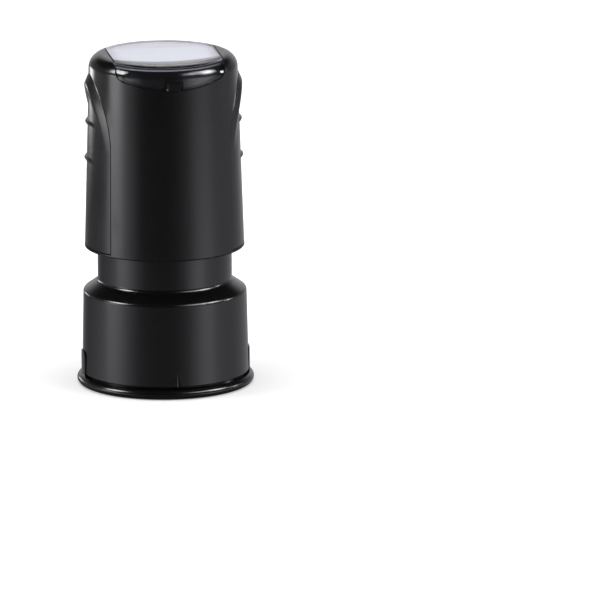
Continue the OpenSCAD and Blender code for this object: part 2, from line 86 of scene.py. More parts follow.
# Heights in millimetres between which the studio passes into each band, from its bottom to its ceiling,
# the radiance of these two, and the radius and height of the points of its profile
BANDS = (("low", -240, -170), ("high", -88, -60), ("over", -15, 20), ("ceiling", 190, 290))
BOTTOM_GLOW, CEILING_GLOW = 0.1, 0.02
BOWL = [(1, -500), (300, -460), (480, -300), (540, -150), (540, 150), (520, 330), (400, 480), (200, 560),
        (1, 580)]
# Softbox faces that show only in gloss: bearing, elevation, width and height in degrees, distance from
# the middle of the handle in millimetres, radiance, and the share of the face over which its edges fade
PANELS = {
    "panel_left": (-76, 30.5, 34, 28, 380, 18.0, 0.45),
    "panel_foot": (-76, -0.5, 36, 16, 380, 6.0, 0.8),
    "panel_right": (77, 28, 38, 34, 380, 21.0, 0.8),
    "panel_halo": (56, 34, 64, 32, 385, 8.0, 0.9),
    "panel_spot": (102, 8, 8, 14, 380, 14.0, 0.3),
    "panel_back": (180, 46, 60, 60, 380, 3.2, 0.9),
    "panel_strip": (-141, -4, 20, 9, 300, 5.0, 0.3),
    "panel_side": (-114, -3.5, 56, 11, 305, 0.45, 0.5),
}
HANDLE_MIDDLE = 45
# Lamps of the matt light: bearing and elevation in degrees, width and height in millimetres, radiance.
# They stand at one distance from a point half way up the stamp
LAMPS = {
    "softbox_top": (0, 90, 700, 700, 1.8),
    "softbox_left": (-80, 38, 250, 500, 3.0),
    "softbox_right": (62, 38, 300, 500, 2.4),
}
LAMP_DISTANCE, STAMP_MIDDLE = 700, 35
ROOM_FILL = 0.36
# Floor: its radius, how far it lies under the stamp, and the radii in millimetres between which its own
# glow climbs from one level to the other
FLOOR = {"radius": 1500, "under": 0.02, "radii": (20, 60), "glow": (0.34, 0.6), "grey": 0.8}
# Index card, in millimetres: where its white field starts to fade into a rim of painted shade and where it
# ends, at the rear and at the sides, the distances from its front edge between which a painted shade darkens
# that edge, and how dark it gets
CARD = {"rear": (5.2, 7.0), "side": (9.0, 10.2), "front": (0.5, 0.2), "dark": 0.12}


def hue(code):
    """Linear colour of an sRGB hex value: each channel undoes the sRGB curve."""
    c = np.array([int(code[i:i + 2], 16) for i in (1, 3, 5)]) / 255
    return tuple(float(v) for v in np.where(c <= 0.04045, c / 12.92, ((c + 0.055) / 1.055) ** 2.4))


def rgba(colour):
    """A colour property with full alpha, as a shader socket takes it."""
    return (*colour, 1.0)


def corners(node):
    """Lowest and highest corner of a node of the frame, in millimetres."""
    low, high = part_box(node)
    return np.array(low) / MM, np.array(high) / MM


def length(name, description, value):
    """A length property: the value is given in millimetres and kept in metres."""
    return FloatProperty(name=name, description=description, default=value * MM, unit="LENGTH")


def colour(name, description, code):
    """A colour property from an sRGB hex value."""
    return FloatVectorProperty(name=name, description=description, size=3, subtype="COLOR", default=hue(code))


class StampSizes(bpy.types.PropertyGroup):
    """Sizes of the looks that a user would change."""
    grain: length("Plastic grain", "Width of one grain of the moulded surface", 0.22)
    handle_d: length("Handle foot", "Diameter of the handle at its lower rim", 33.46)
    handle_top_d: length("Handle top", "Diameter of the handle at its top edge, before rounding", 30.9)
    grip_half: length("Grip half width", "Half width of the grip's outline where its arch springs", 10)
    leg_spread: length("Leg spread", "How much wider each leg of the outline is at its foot", 0.7)
    arch_h: length("Arch height", "Height of the curved part of the grip's outline", 16)
    grip_t: length("Grip thickness", "Thickness of the grip inlay", 0.7)
    hood_proud: length("Hood", "How far the hood stands proud at the top of the arch", 0.9)
    hood_lead: length("Hood lead", "Width of the chamfer that leads up to the hood", 2.2)
    crest_drop: length("Hood crest", "Distance from the top of the arch down to the crest", 2.4)
    hood_w: length("Hood width", "Distance from the arch to the foot of the hood's inner slope", 5.4)
    rib_drop: length("Upper rib", "Distance from the handle's top down to the upper finger rib", 14.15)
    rib_pitch: length("Rib pitch", "Distance between the two finger ribs", 7.65)
    rib_half: length("Rib half width", "Half width of each finger rib", 4.4)
    rib_t: length("Rib thickness", "Thickness of each finger rib", 0.9)
    rib_proud: length("Rib height", "How far each finger rib stands proud", 0.6)
    base_d: length("Base foot", "Diameter of the base at its foot", 34.9)
    shoulder_d: length("Base shoulder", "Diameter of the base at its shoulder edge", 34.2)
    wall_h: length("Base wall", "Height of the base's wall from its foot to its shoulder edge", 17.45)
    pointer_h: length("Pointer height", "Height of the pointer at the foot of the base", 2.75)
    pointer_w: length("Pointer width", "Width of the pointer at its foot", 1.3)
    pointer_proud: length("Pointer proud", "How far the pointer's ridge stands proud at its foot", 0.56)
    card_sweep: length("Card front", "Radius of the index card's front edge", 16.5)
    wire_d: length("Spring wire", "Diameter of the return spring's wire", 0.9)
    coil_turns: IntProperty(name="Spring curls", description="Number of curls of the return spring",
                            default=9)


class StampColours(bpy.types.PropertyGroup):
    """Colours of the stamp's materials."""
    black: colour("Black plastic", "Housing of the stamp", "#0a0a0c")
    black_pale: colour("Black plastic, paler", "Cloudy patches of the housing", "#0e0e10")
    grip: colour("Grip plastic", "Side grips", "#09090b")
    clear: colour("Window", "Tint of the clear index window", "#f4f6fc")
    card: colour("Card", "Blank field of the index card", "#eff1f8")
    # The card's rim colour is painted shade: the card's rear and sides grey into it
    card_shaded_rim: colour("Card border", "Border of the index card", "#dedde2")
    steel: colour("Spring steel", "Drawn wire and clip", "#b9bcc2")
    ivory: colour("Ivory plastic", "Plunger and adjusting screw", "#e3dfd2")
    grey: colour("Grey plastic", "Cassette and clamp ring", "#b3b8bd")
    ink: colour("Ink", "Soaked felt of the reservoir", "#1a2346")
    foam: colour("Die foam", "Porous die that holds the ink", "#31406f")


def add_node(tree, kind, inputs=None, **settings):
    """One shader node: settings are its properties, inputs are values or the sockets that feed it."""
    made = tree.nodes.new(kind)
    for key, value in settings.items():
        setattr(made, key, value)
    for key, value in (inputs or {}).items():
        if isinstance(value, bpy.types.NodeSocket):
            tree.links.new(value, made.inputs[key])
        else:
            made.inputs[key].default_value = value
    return made


def new_material(name):
    """An empty node material, its tree and its Object coordinates."""
    made = bpy.data.materials.new(name)
    made.use_nodes = True
    tree = made.node_tree
    tree.nodes.clear()
    return made, tree, add_node(tree, "ShaderNodeTexCoord").outputs["Object"]


def finished(made, tree, **inputs):
    """Closes a material with one Principled shader and its output."""
    sockets = {key.replace("_", " "): value for key, value in inputs.items()}
    shader = add_node(tree, "ShaderNodeBsdfPrincipled", sockets)
    add_node(tree, "ShaderNodeOutputMaterial", {"Surface": shader.outputs["BSDF"]})
    return made


def moulded(name, dark, pale, roughness, grain_mm, grain_depth, wave_depth=0.0, cloud_mm=9):
    """Injection-moulded plastic: the tool's fine grain breaks up the gloss, slow cloudy patches where
    the melt cooled unevenly change gloss and colour a little, and shallow sink marks bend reflections."""
    made, tree, place = new_material(name)
    grain = add_node(tree, "ShaderNodeTexNoise", {"Vector": place, "Scale": 1 / (grain_mm * MM),
                                                  "Detail": 2.0, "Roughness": 0.6}).outputs["Fac"]
    cloud = add_node(tree, "ShaderNodeTexNoise", {"Vector": place, "Scale": 1 / (cloud_mm * MM),
                                                  "Detail": 3.0, "Roughness": 0.5}).outputs["Fac"]
    tint = add_node(tree, "ShaderNodeMix", {"Factor": cloud, "A": rgba(dark), "B": rgba(pale)},
                    data_type="RGBA")
    gloss = add_node(tree, "ShaderNodeMapRange", {"Value": cloud, "From Min": 0.3, "From Max": 0.7,
                                                  "To Min": roughness * 0.88, "To Max": roughness * 1.12})
    sink = add_node(tree, "ShaderNodeBump", {"Height": cloud, "Strength": 1.0, "Distance": wave_depth * MM})
    bump = add_node(tree, "ShaderNodeBump", {"Height": grain, "Strength": 1.0, "Distance": grain_depth * MM,
                                             "Normal": sink.outputs["Normal"]})
    return finished(made, tree, Base_Color=tint.outputs["Result"], Roughness=gloss.outputs["Result"],
                    Normal=bump.outputs["Normal"], IOR=1.5)


def clear_acrylic(name, tint):
    """Clear moulded acrylic: bright edges, hardly any haze, and a faint cool tint that deepens where the
    eye looks along the sheet."""
    made, tree, place = new_material(name)
    flow = add_node(tree, "ShaderNodeTexNoise", {"Vector": place, "Scale": 1 / (6 * MM), "Detail": 2.0})
    haze = add_node(tree, "ShaderNodeMapRange", {"Value": flow.outputs["Fac"],
                                                 "To Min": 0.01, "To Max": 0.04})
    deep = add_node(tree, "ShaderNodeVolumeAbsorption", {"Color": rgba(tint), "Density": 50.0})
    finished(made, tree, Base_Color=rgba(tint), Roughness=haze.outputs["Result"], IOR=1.49,
             Transmission_Weight=1.0)
    tree.links.new(deep.outputs["Volume"], tree.nodes["Material Output"].inputs["Volume"])
    return made


def index_board(name, field, shaded_rim, sweep):
    """Thin index board: matt, with short paper fibres, a whiter field that greys towards the rear and the
    sides into a rim of painted shade, and a dark line of painted shade along its front edge, an arc of radius
    sweep, so that the edge shows less inside the window."""
    made, tree, place = new_material(name)
    fibre = add_node(tree, "ShaderNodeTexNoise", {"Vector": place, "Scale": 1 / (0.35 * MM), "Detail": 4.0,
                                                  "Roughness": 0.7, "Distortion": 1.5}).outputs["Fac"]
    part = add_node(tree, "ShaderNodeSeparateXYZ", {"Vector": place}).outputs
    wide = add_node(tree, "ShaderNodeMath", {0: part["X"]}, operation="ABSOLUTE").outputs[0]
    inside = 1.0
    # Painted shade: the white field greys into the rim colour towards the card's rear and sides
    for value, (start, end) in ((part["Y"], CARD["rear"]), (wide, CARD["side"])):
        fade = add_node(tree, "ShaderNodeMapRange", {
            "Value": value, "From Min": start * MM, "From Max": end * MM, "To Min": 1.0, "To Max": 0.0},
            interpolation_type="SMOOTHSTEP")
        inside = add_node(tree, "ShaderNodeMath", {0: inside, 1: fade.outputs["Result"]},
                          operation="MULTIPLY").outputs[0]
    zone = add_node(tree, "ShaderNodeMix", {"Factor": inside, "A": rgba(shaded_rim), "B": rgba(field)},
                    data_type="RGBA")
    low, _ = corners("index_card")
    flat = add_node(tree, "ShaderNodeMapping", {"Vector": place, "Scale": (1, 1, 0),
                                                "Location": (0, -(low[1] + sweep) * MM, 0)})
    reach = add_node(tree, "ShaderNodeVectorMath", {0: flat.outputs["Vector"]}, operation="LENGTH")
    # Painted shade: a dark line along the card's front edge, so that the edge shows less inside the window
    start, end = CARD["front"]
    shade = add_node(tree, "ShaderNodeMapRange", {
        "Value": reach.outputs["Value"], "From Min": (sweep - start) * MM, "From Max": (sweep - end) * MM,
        "To Min": 1.0, "To Max": CARD["dark"]})
    speck = add_node(tree, "ShaderNodeMapRange", {"Value": fibre, "To Min": 0.985, "To Max": 1.015})
    speck = add_node(tree, "ShaderNodeMath", {0: speck.outputs["Result"], 1: shade.outputs["Result"]},
                     operation="MULTIPLY")
    tint = add_node(tree, "ShaderNodeVectorMath", {0: zone.outputs["Result"], "Scale": speck.outputs[0]},
                    operation="SCALE")
    bump = add_node(tree, "ShaderNodeBump", {"Height": fibre, "Strength": 0.6, "Distance": 0.01 * MM})
    return finished(made, tree, Base_Color=tint.outputs["Vector"], Roughness=0.7,
                    Normal=bump.outputs["Normal"], IOR=1.45)


def drawn_steel(name, tint):
    """Drawn spring steel: bright, with faint die lines and a slightly uneven gloss."""
    made, tree, place = new_material(name)
    lines = add_node(tree, "ShaderNodeTexNoise", {"Vector": place, "Scale": 1 / (0.12 * MM), "Detail": 2.0})
    gloss = add_node(tree, "ShaderNodeMapRange", {"Value": lines.outputs["Fac"],
                                                  "To Min": 0.2, "To Max": 0.36})
    bump = add_node(tree, "ShaderNodeBump", {"Height": lines.outputs["Fac"], "Strength": 0.5,
                                             "Distance": 0.004 * MM})
    return finished(made, tree, Base_Color=rgba(tint), Metallic=1.0, Roughness=gloss.outputs["Result"],
                    Normal=bump.outputs["Normal"])


def soaked_felt(name, tint):
    """Felt soaked with ink: a tangle of fibres with a wet sheen in its hollows."""
    made, tree, place = new_material(name)
    tangle = add_node(tree, "ShaderNodeTexNoise", {"Vector": place, "Scale": 1 / (0.5 * MM), "Detail": 6.0,
                                                   "Roughness": 0.75, "Distortion": 2.0}).outputs["Fac"]
    wet = add_node(tree, "ShaderNodeMapRange", {"Value": tangle, "To Min": 0.25, "To Max": 0.9})
    pale = tuple(min(1.0, 1.8 * v) for v in tint)
    mixed = add_node(tree, "ShaderNodeMix", {"Factor": tangle, "A": rgba(tint), "B": rgba(pale)},
                     data_type="RGBA")
    bump = add_node(tree, "ShaderNodeBump", {"Height": tangle, "Strength": 1.0, "Distance": 0.12 * MM})
    return finished(made, tree, Base_Color=mixed.outputs["Result"], Roughness=wet.outputs["Result"],
                    Normal=bump.outputs["Normal"], Sheen_Weight=0.2)


def porous_foam(name, tint):
    """Microporous foam of the die: closed matt cells, drawn coarser than they are so that they show."""
    made, tree, place = new_material(name)
    cells = add_node(tree, "ShaderNodeTexVoronoi", {"Vector": place, "Scale": 1 / (0.18 * MM)})
    cells = cells.outputs["Distance"]
    pale = tuple(min(1.0, 1.5 * v) for v in tint)
    mixed = add_node(tree, "ShaderNodeMix", {"Factor": cells, "A": rgba(tint), "B": rgba(pale)},
                     data_type="RGBA")
    bump = add_node(tree, "ShaderNodeBump", {"Height": cells, "Strength": 0.8, "Distance": 0.05 * MM})
    return finished(made, tree, Base_Color=mixed.outputs["Result"], Roughness=0.75,
                    Normal=bump.outputs["Normal"])


def dress(material, *nodes):
    """Gives nodes of the frame, whose shapes are right, their material."""
    for name in nodes:
        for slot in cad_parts[name].material_slots:
            slot.material = material


def grid_faces(rows, cols, wrap=False):
    """Quads of a grid, four indices a row; wrap joins the last column to the first."""
    i, j = np.meshgrid(np.arange(rows - 1), np.arange(cols if wrap else cols - 1), indexing="ij")
    k = (j + 1) % cols
    return np.stack([i * cols + j, i * cols + k, (i + 1) * cols + k, (i + 1) * cols + j], -1).reshape(-1, 4)


def surface(name, points, faces, sharp=None):
    """Mesh object from an array of points in millimetres and an array of quads, smooth but for edges
    sharper than an angle in degrees."""
    mesh = bpy.data.meshes.new(name)
    mesh.from_pydata((np.asarray(points).reshape(-1, 3) * MM).tolist(), [], np.asarray(faces).tolist())
    mesh.update()
    if sharp is not None:
        mesh.shade_smooth()
        mesh.set_sharp_from_angle(angle=math.radians(sharp))
    made = bpy.data.objects.new(name, mesh)
    bpy.context.scene.collection.objects.link(made)
    return made


def outward(points, faces):
    """Quads turned so that they enclose a positive volume: the sum of the tetrahedra that each makes
    with the origin."""
    p = np.asarray(points).reshape(-1, 3)
    a, b, c, d = (p[faces[:, k]] for k in range(4))
    volume = np.einsum("ij,ij->i", a, np.cross(b, c)).sum() + np.einsum("ij,ij->i", a, np.cross(c, d)).sum()
    return faces if volume > 0 else faces[:, ::-1]


def ring_faces(points):
    """Quads of a closed body made of loops, one a row: the loops are joined, and the first and the last
    are filled by strips between their front half and their back half."""
    rows, cols = points.shape[:2]
    j = np.arange(cols // 2 - 1)
    cap = np.stack([j, j + 1, cols - 2 - j, cols - 1 - j], -1)
    faces = np.concatenate([grid_faces(rows, cols, True), cap[:, ::-1], cap + (rows - 1) * cols])
    return outward(points, faces)


def revolve(profile, steps):
    """Points of a profile (radius, height) carried round the axis: rows are the profile's points."""
    p = np.asarray(profile, float)
    a = np.linspace(0, 2 * math.pi, steps, endpoint=False)
    return np.stack([p[:, :1] * np.cos(a), p[:, :1] * np.sin(a), np.repeat(p[:, 1:], steps, 1)], -1)


def piece(made, body, slot, node, *materials):
    """Hands a finished piece to the frame: its materials, its body and the node that it stands for, which it
    hides. The slot argument is not used.
    """
    for material in materials:
        made.data.materials.append(material)
    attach(made, body)
    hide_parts(node)


def soft_min(a, b, reach):
    """The smaller of two arrays, with the corner between them rounded over reach."""
    blend = np.clip(0.5 + 0.5 * (b - a) / reach, 0, 1)
    return b + (a - b) * blend - reach * blend * (1 - blend)


class Grip:
    """Shape of one side grip, from the frame's grip and the sizes of its hood and ribs."""
    # The hood's height at its crest, in parts of its own size, and its slow fall from there per millimetre
    crest_share, fall = 1.05, 0.13
    # Width of its steep inner slope, and how softly the slopes pass into each other and into the panel
    steep, blend, panel_blend = 1.7, 0.25, 0.12
    # Depth and width of the edge's roll into the seam, and how far the panel lies under the handle's side
    roll_depth, roll_w, sunk = 0.12, 0.2, 0.05

    def __init__(self, s):
        low, high = corners("grip_right")
        shell_low, shell_high = corners("handle_shell")
        self.foot, self.top = low[2], high[2]
        self.half, self.spread = s.grip_half / MM, s.leg_spread / MM
        self.spring = self.top - s.arch_h / MM
        self.rise = s.arch_h / MM
        self.crest = self.top - s.crest_drop / MM
        self.shell = (shell_low[2], shell_high[2], s.handle_d / MM / 2, s.handle_top_d / MM / 2)
        self.rib_z = [shell_high[2] - (s.rib_drop + i * s.rib_pitch) / MM for i in range(2)]
        self.sizes = s

    def side(self, z):
        """Radius of the handle's tapered side at a height: linear from foot to top."""
        z0, z1, r0, r1 = self.shell
        return r0 + (r1 - r0) * (z - z0) / (z1 - z0)

    def width(self, z):
        """Half width of the outline at a height: an ellipse above the spring line, straight legs that
        spread to the foot below it."""
        arch = self.half * np.sqrt(1 - (np.maximum(z - self.spring, 0) / self.rise) ** 2)
        return arch + self.spread * np.maximum(self.spring - z, 0) / (self.spring - self.foot)

    def inset(self, y, z):
        """Distance of a place from the outline, to first order: one less the ellipse's own measure
        over the length of its slope above the spring line, plain distance below it."""
        up = np.maximum(z - self.spring, 0)
        q = np.sqrt((y / self.half) ** 2 + (up / self.rise) ** 2) + 1e-9
        slope = np.sqrt((y / self.half ** 2) ** 2 + (up / self.rise ** 2) ** 2) / q + 1e-9
        return np.where(up > 0, (1 - q) / slope, self.width(z) - np.abs(y)).clip(0)

    def height(self, y, z):
        """How far the grip stands out from the handle's side: a lead climbs from the arch to the crest,
        a slow fall and then a steep one run from the crest to the panel, all in proportion to a hood
        that fades down to the spring line; two ribs are half round, highest in the middle; the edge
        rolls down into the seam."""
        s = self.sizes
        d = self.inset(y, z)
        fade = np.clip((z - self.spring) / (self.crest - self.spring), 0, 1)
        lead, wide = s.hood_lead / MM, s.hood_lead / MM + (s.hood_w - s.hood_lead) / MM * fade
        hood = soft_min(d / lead, self.crest_share - self.fall * (d - lead), self.blend)
        hood = soft_min(hood, (wide - d) / self.steep, self.blend)
        hood = -soft_min(-hood, 0 * hood, self.panel_blend)
        rise = s.hood_proud / MM * fade * hood
        for rib in self.rib_z:
            across = np.clip(1 - ((z - rib) / (s.rib_t / MM / 2)) ** 2, 0, 1) ** 0.5
            rise = rise + s.rib_proud / MM * np.clip(1 - (y / (s.rib_half / MM)) ** 2, 0, 1) * across
        edge = np.minimum(d, z - self.foot).clip(0)
        return rise - self.roll_depth * np.clip(1 - edge / self.roll_w, 0, 1) ** 2

    def points(self):
        """Closed loops, one a height: the outer surface from front to rear and the back of the inlay
        from rear to front. Heights follow the legs and then the arch's own angle, closer at the ribs."""
        s = self.sizes
        near_rib = np.linspace(-0.56, 0.56, 25) * s.rib_t / MM / 0.9
        legs = np.concatenate([np.arange(0, 0.3, 0.05) + self.foot,
                               np.arange(self.foot + 0.4, self.spring, 0.45)])
        arch = self.spring + self.rise * np.sin(np.radians(np.arange(0, 89.6, 0.75)))
        z = np.unique(np.concatenate([legs, arch, *(near_rib + rib for rib in self.rib_z)]))
        d = np.concatenate([[0, 0.03, 0.07, 0.12, 0.18, 0.25], np.arange(0.35, 3.2, 0.15),
                            np.arange(3.4, self.half, 0.4)])
        v = np.concatenate([d / self.half - 1, [0.0], 1 - d[::-1] / self.half])
        z, y = np.meshgrid(z, v, indexing="ij")
        y = y * self.width(z)
        r = self.side(z)
        turn = np.arcsin(y / r)
        front = r - self.sunk + self.height(y, z)
        back = (r - s.grip_t / MM)[:, ::-1]
        radius = np.concatenate([front, back], 1)
        turn = np.concatenate([turn, turn[:, ::-1]], 1)
        z = np.concatenate([z, z], 1)
        return np.stack([radius * np.cos(turn), radius * np.sin(turn), z], -1)


class STAMP_OT_grips(bpy.types.Operator):
    """Side grips: hooded arches with two finger ribs, let into the handle"""
    bl_idname = "stamp.grips"
    bl_label = "Side grips"

    def execute(self, context):
        s, c = context.scene.stamp_sizes, context.scene.stamp_colours
        plastic = moulded("ABS, moulded black, fine spark grain", c.grip, c.black_pale, 0.24, 0.16, 0.004)
        points = Grip(s).points()
        faces = ring_faces(points)
        for node, way in (("grip_right", 1), ("grip_left", -1)):
            made = surface(node + "_moulding", points * (way, way, 1), faces, sharp=50)
            piece(made, "handle", "grip_black", node, plastic)
        return {"FINISHED"}


class STAMP_OT_spring(bpy.types.Operator):
    """Return spring round the stem, which shortens as the handle is pressed"""
    bl_idname = "stamp.spring"
    bl_label = "Return spring"

    def execute(self, context):
        s, c = context.scene.stamp_sizes, context.scene.stamp_colours
        low, high = corners("return_spring")
        wire = s.wire_d / MM / 2
        coil = high[0] - wire
        steps, sides = 48, 16
        # A circle carried along a helix: the ring's plane is square to the wire, poles close the ends
        angle = np.linspace(0, 2 * math.pi * s.coil_turns, steps * s.coil_turns + 1)[:, None]
        climb = (high[2] - low[2] - 2 * wire) / (2 * math.pi * s.coil_turns)
        centre = np.stack([coil * np.cos(angle), coil * np.sin(angle), low[2] + wire + climb * angle], -1)
        out = np.stack([np.cos(angle), np.sin(angle), 0 * angle], -1)
        along = np.stack([-coil * np.sin(angle), coil * np.cos(angle), climb + 0 * angle], -1)
        along = along / np.linalg.norm(along, axis=-1, keepdims=True)
        ring = np.linspace(0, 2 * math.pi, sides, endpoint=False)[None, :, None]
        tube = centre + wire * (np.cos(ring) * out + np.sin(ring) * np.cross(along, out))
        ends = [np.repeat(centre[k:k + 1], sides, 1) for k in (0, -1)]
        points = np.concatenate([ends[0], tube, ends[1]])
        faces = outward(points, grid_faces(len(points), sides, True))
        made = surface("return_spring_wire", points, faces, sharp=60)
        piece(made, "base", "spring_steel", "return_spring", drawn_steel("Spring steel, drawn", c.steel))
        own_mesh(made)
        return {"FINISHED"}


def pointer_ridge(s):
    """Ridge that faces the pointer at the foot of the base: its height over the wall falls straight from
    the foot to the tip and from the middle to both sides, like a half pyramid; the back lies in the wall."""
    low, _ = corners("base_body")
    lift, buried, depth = 0.3, 0.03, 0.3
    t, u = np.meshgrid(np.linspace(0, 0.97, 14), np.linspace(-1, 1, 17), indexing="ij")
    rise = s.pointer_proud / MM * (1 - t) * (1 - np.abs(u)) - buried
    x = u * s.pointer_w / MM / 2 * (1 - t)
    z = low[2] + lift + t * s.pointer_h / MM
    wall = (s.base_d - (s.base_d - s.shoulder_d) * (z - low[2]) * MM / s.wall_h) / MM / 2
    front = np.stack([x, -np.sqrt((wall + rise) ** 2 - x ** 2), z], -1)
    back = np.stack([x, -np.sqrt((wall - depth) ** 2 - x ** 2), z], -1)[:, ::-1]
    points = np.concatenate([front, back], 1)
    return points, ring_faces(points)


class STAMP_OT_housing(bpy.types.Operator):
    """Handle shell, base with its pointer, and dust cap in moulded black plastic"""
    bl_idname = "stamp.housing"
    bl_label = "Housing"

    def execute(self, context):
        s, c = context.scene.stamp_sizes, context.scene.stamp_colours
        black = moulded("ABS, moulded black, satin", c.black, c.black_pale, 0.2, s.grain / MM, 0.003, 0.012)
        dress(black, "handle_shell", "base_body", "dust_cap")
        made = surface("base_pointer", *pointer_ridge(s), sharp=20)
        made.data.materials.append(black)
        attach(made, "base")
        return {"FINISHED"}


class STAMP_OT_window(bpy.types.Operator):
    """Clear index window and the blank card under it"""
    bl_idname = "stamp.window"
    bl_label = "Index window"

    def execute(self, context):
        s, c = context.scene.stamp_sizes, context.scene.stamp_colours
        dress(clear_acrylic("PMMA, clear", c.clear), "index_window")
        # The card takes the light of the room as if the thin window weren't there
        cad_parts["index_window"].visible_shadow = False
        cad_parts["index_window"].visible_diffuse = False
        dress(index_board("Index board, white", c.card, c.card_shaded_rim, s.card_sweep / MM), "index_card")
        return {"FINISHED"}


class STAMP_OT_plunger(bpy.types.Operator):
    """Plunger, its adjusting screw and the clip that holds the screw"""
    bl_idname = "stamp.plunger"
    bl_label = "Plunger"

    def execute(self, context):
        c = context.scene.stamp_colours
        ivory = moulded("Acetal, moulded ivory", c.ivory, c.ivory, 0.35, 0.3, 0.004)
        dress(ivory, "plunger", "adjusting_screw")
        dress(drawn_steel("Spring steel, stamped", c.steel), "screw_clip")
        return {"FINISHED"}


class STAMP_OT_die(bpy.types.Operator):
    """Cassette, clamp ring, inked felt and printing die"""
    bl_idname = "stamp.die"
    bl_label = "Die and cassette"

    def execute(self, context):
        c = context.scene.stamp_colours
        dress(moulded("ABS, moulded grey", c.grey, c.grey, 0.3, 0.25, 0.004), "die_holder", "clamp_ring")
        dress(soaked_felt("Felt, soaked with ink", c.ink), "ink_reservoir")
        dress(porous_foam("Foam, microporous, inked", c.foam), "printing_die")
        return {"FINISHED"}


def bearing(azimuth, elevation):
    """Unit vector towards an azimuth from the front, positive to the right, and an elevation."""
    a, e = math.radians(azimuth), math.radians(elevation)
    return np.array([math.sin(a) * math.cos(e), -math.cos(a) * math.cos(e), math.sin(e)])


def facing(azimuth, elevation):
    """Right, up and back vectors of something that looks at the stamp from a bearing off the camera."""
    back = bearing(CAMERA["azimuth"] + azimuth, elevation)
    turned = bearing(CAMERA["azimuth"] + azimuth, 0)
    level = np.array([-turned[1], turned[0], 0])
    return level, np.cross(back, level), back


def add_camera():
    """Camera from its bearing, roll and distance: it looks at a point beside the stamp's axis."""
    roll = math.radians(CAMERA["roll"])
    level, rise, back = facing(0, CAMERA["elevation"])
    right = level * math.cos(roll) + rise * math.sin(roll)
    up = rise * math.cos(roll) - level * math.sin(roll)
    target = right * CAMERA["aside"] + np.array([0, 0, CAMERA["height"]])
    place = (target + back * CAMERA["distance"]) * MM
    data = bpy.data.cameras.new("camera")
    data.sensor_width = CAMERA["sensor"]
    data.lens = CAMERA["focal_px"] * CAMERA["sensor"] / CAMERA["frame_px"]
    camera = bpy.data.objects.new("camera", data)
    camera.matrix_world = Matrix([[right[i], up[i], back[i], place[i]] for i in range(3)] + [[0, 0, 0, 1]])
    bpy.context.scene.collection.objects.link(camera)
    bpy.context.scene.camera = camera


def add_lamp(name, azimuth, elevation, wide, high, radiance):
    """Softbox for the matt light only: its power is the radiance of its face times its area and pi."""
    data = bpy.data.lights.new(name, "AREA")
    data.shape = "RECTANGLE"
    data.size, data.size_y = wide * MM, high * MM
    data.energy = radiance * data.size * data.size_y * math.pi
    lamp = bpy.data.objects.new(name, data)
    level, rise, back = facing(azimuth, elevation)
    place = (back * LAMP_DISTANCE + np.array([0, 0, STAMP_MIDDLE])) * MM
    lamp.matrix_world = Matrix([[level[i], rise[i], back[i], place[i]] for i in range(3)] + [[0, 0, 0, 1]])
    lamp.visible_glossy = False
    lamp.visible_transmission = False
    bpy.context.scene.collection.objects.link(lamp)


def only_mirrored(made):
    """Lets a staged surface show in gloss and in clear plastic, and nowhere else."""
    for way in ("camera", "diffuse", "volume_scatter", "shadow"):
        setattr(made, "visible_" + way, False)


def by_bearing(tree, fac, table):
    """Radiance by bearing: a curve through the table, stretched to its largest value."""
    ramp = add_node(tree, "ShaderNodeFloatCurve", {"Value": fac})
    curve = ramp.mapping.curves[0]
    top = max(level for _, level in table)
    curve.points[0].location = (0, table[0][1] / top)
    curve.points[1].location = (1, table[-1][1] / top)
    for degrees, level in table[1:-1]:
        curve.points.new(degrees / 360 + 0.5, level / top)
    ramp.mapping.update()
    level = add_node(tree, "ShaderNodeMath", {0: ramp.outputs["Value"], 1: top}, operation="MULTIPLY")
    return level.outputs[0]


def add_bowl():
    """Dark studio that gloss and clear plastic show in place of the white room: a closed bowl round the
    stamp and far below it, whose light goes by bearing in bands that pass into each other, with a dim
    bottom and a dark ceiling."""
    bowl = surface("studio_bowl", revolve(BOWL, 180), grid_faces(len(BOWL), 180, True))
    made, tree, place = new_material("Studio wall, dark and lit")
    turned = add_node(tree, "ShaderNodeMapping", {"Vector": place, "Rotation": (
        0, 0, math.radians(90 - CAMERA["azimuth"]))})
    angle = add_node(tree, "ShaderNodeTexGradient", {"Vector": turned.outputs["Vector"]},
                     gradient_type="RADIAL").outputs["Fac"]
    high = add_node(tree, "ShaderNodeSeparateXYZ", {"Vector": place}).outputs["Z"]
    level = BOTTOM_GLOW
    for band, start, end in BANDS:
        share = add_node(tree, "ShaderNodeMapRange", {"Value": high, "From Min": start * MM,
                                                      "From Max": end * MM})
        wall = by_bearing(tree, angle, STUDIO[band]) if band in STUDIO else CEILING_GLOW
        level = add_node(tree, "ShaderNodeMix", {"Factor": share.outputs["Result"], "A": level, "B": wall},
                         data_type="FLOAT").outputs["Result"]
    glow = add_node(tree, "ShaderNodeEmission", {"Color": rgba(hue("#fbf9ff")), "Strength": level})
    add_node(tree, "ShaderNodeOutputMaterial", {"Surface": glow.outputs[0]})
    bowl.data.materials.append(made)
    only_mirrored(bowl)


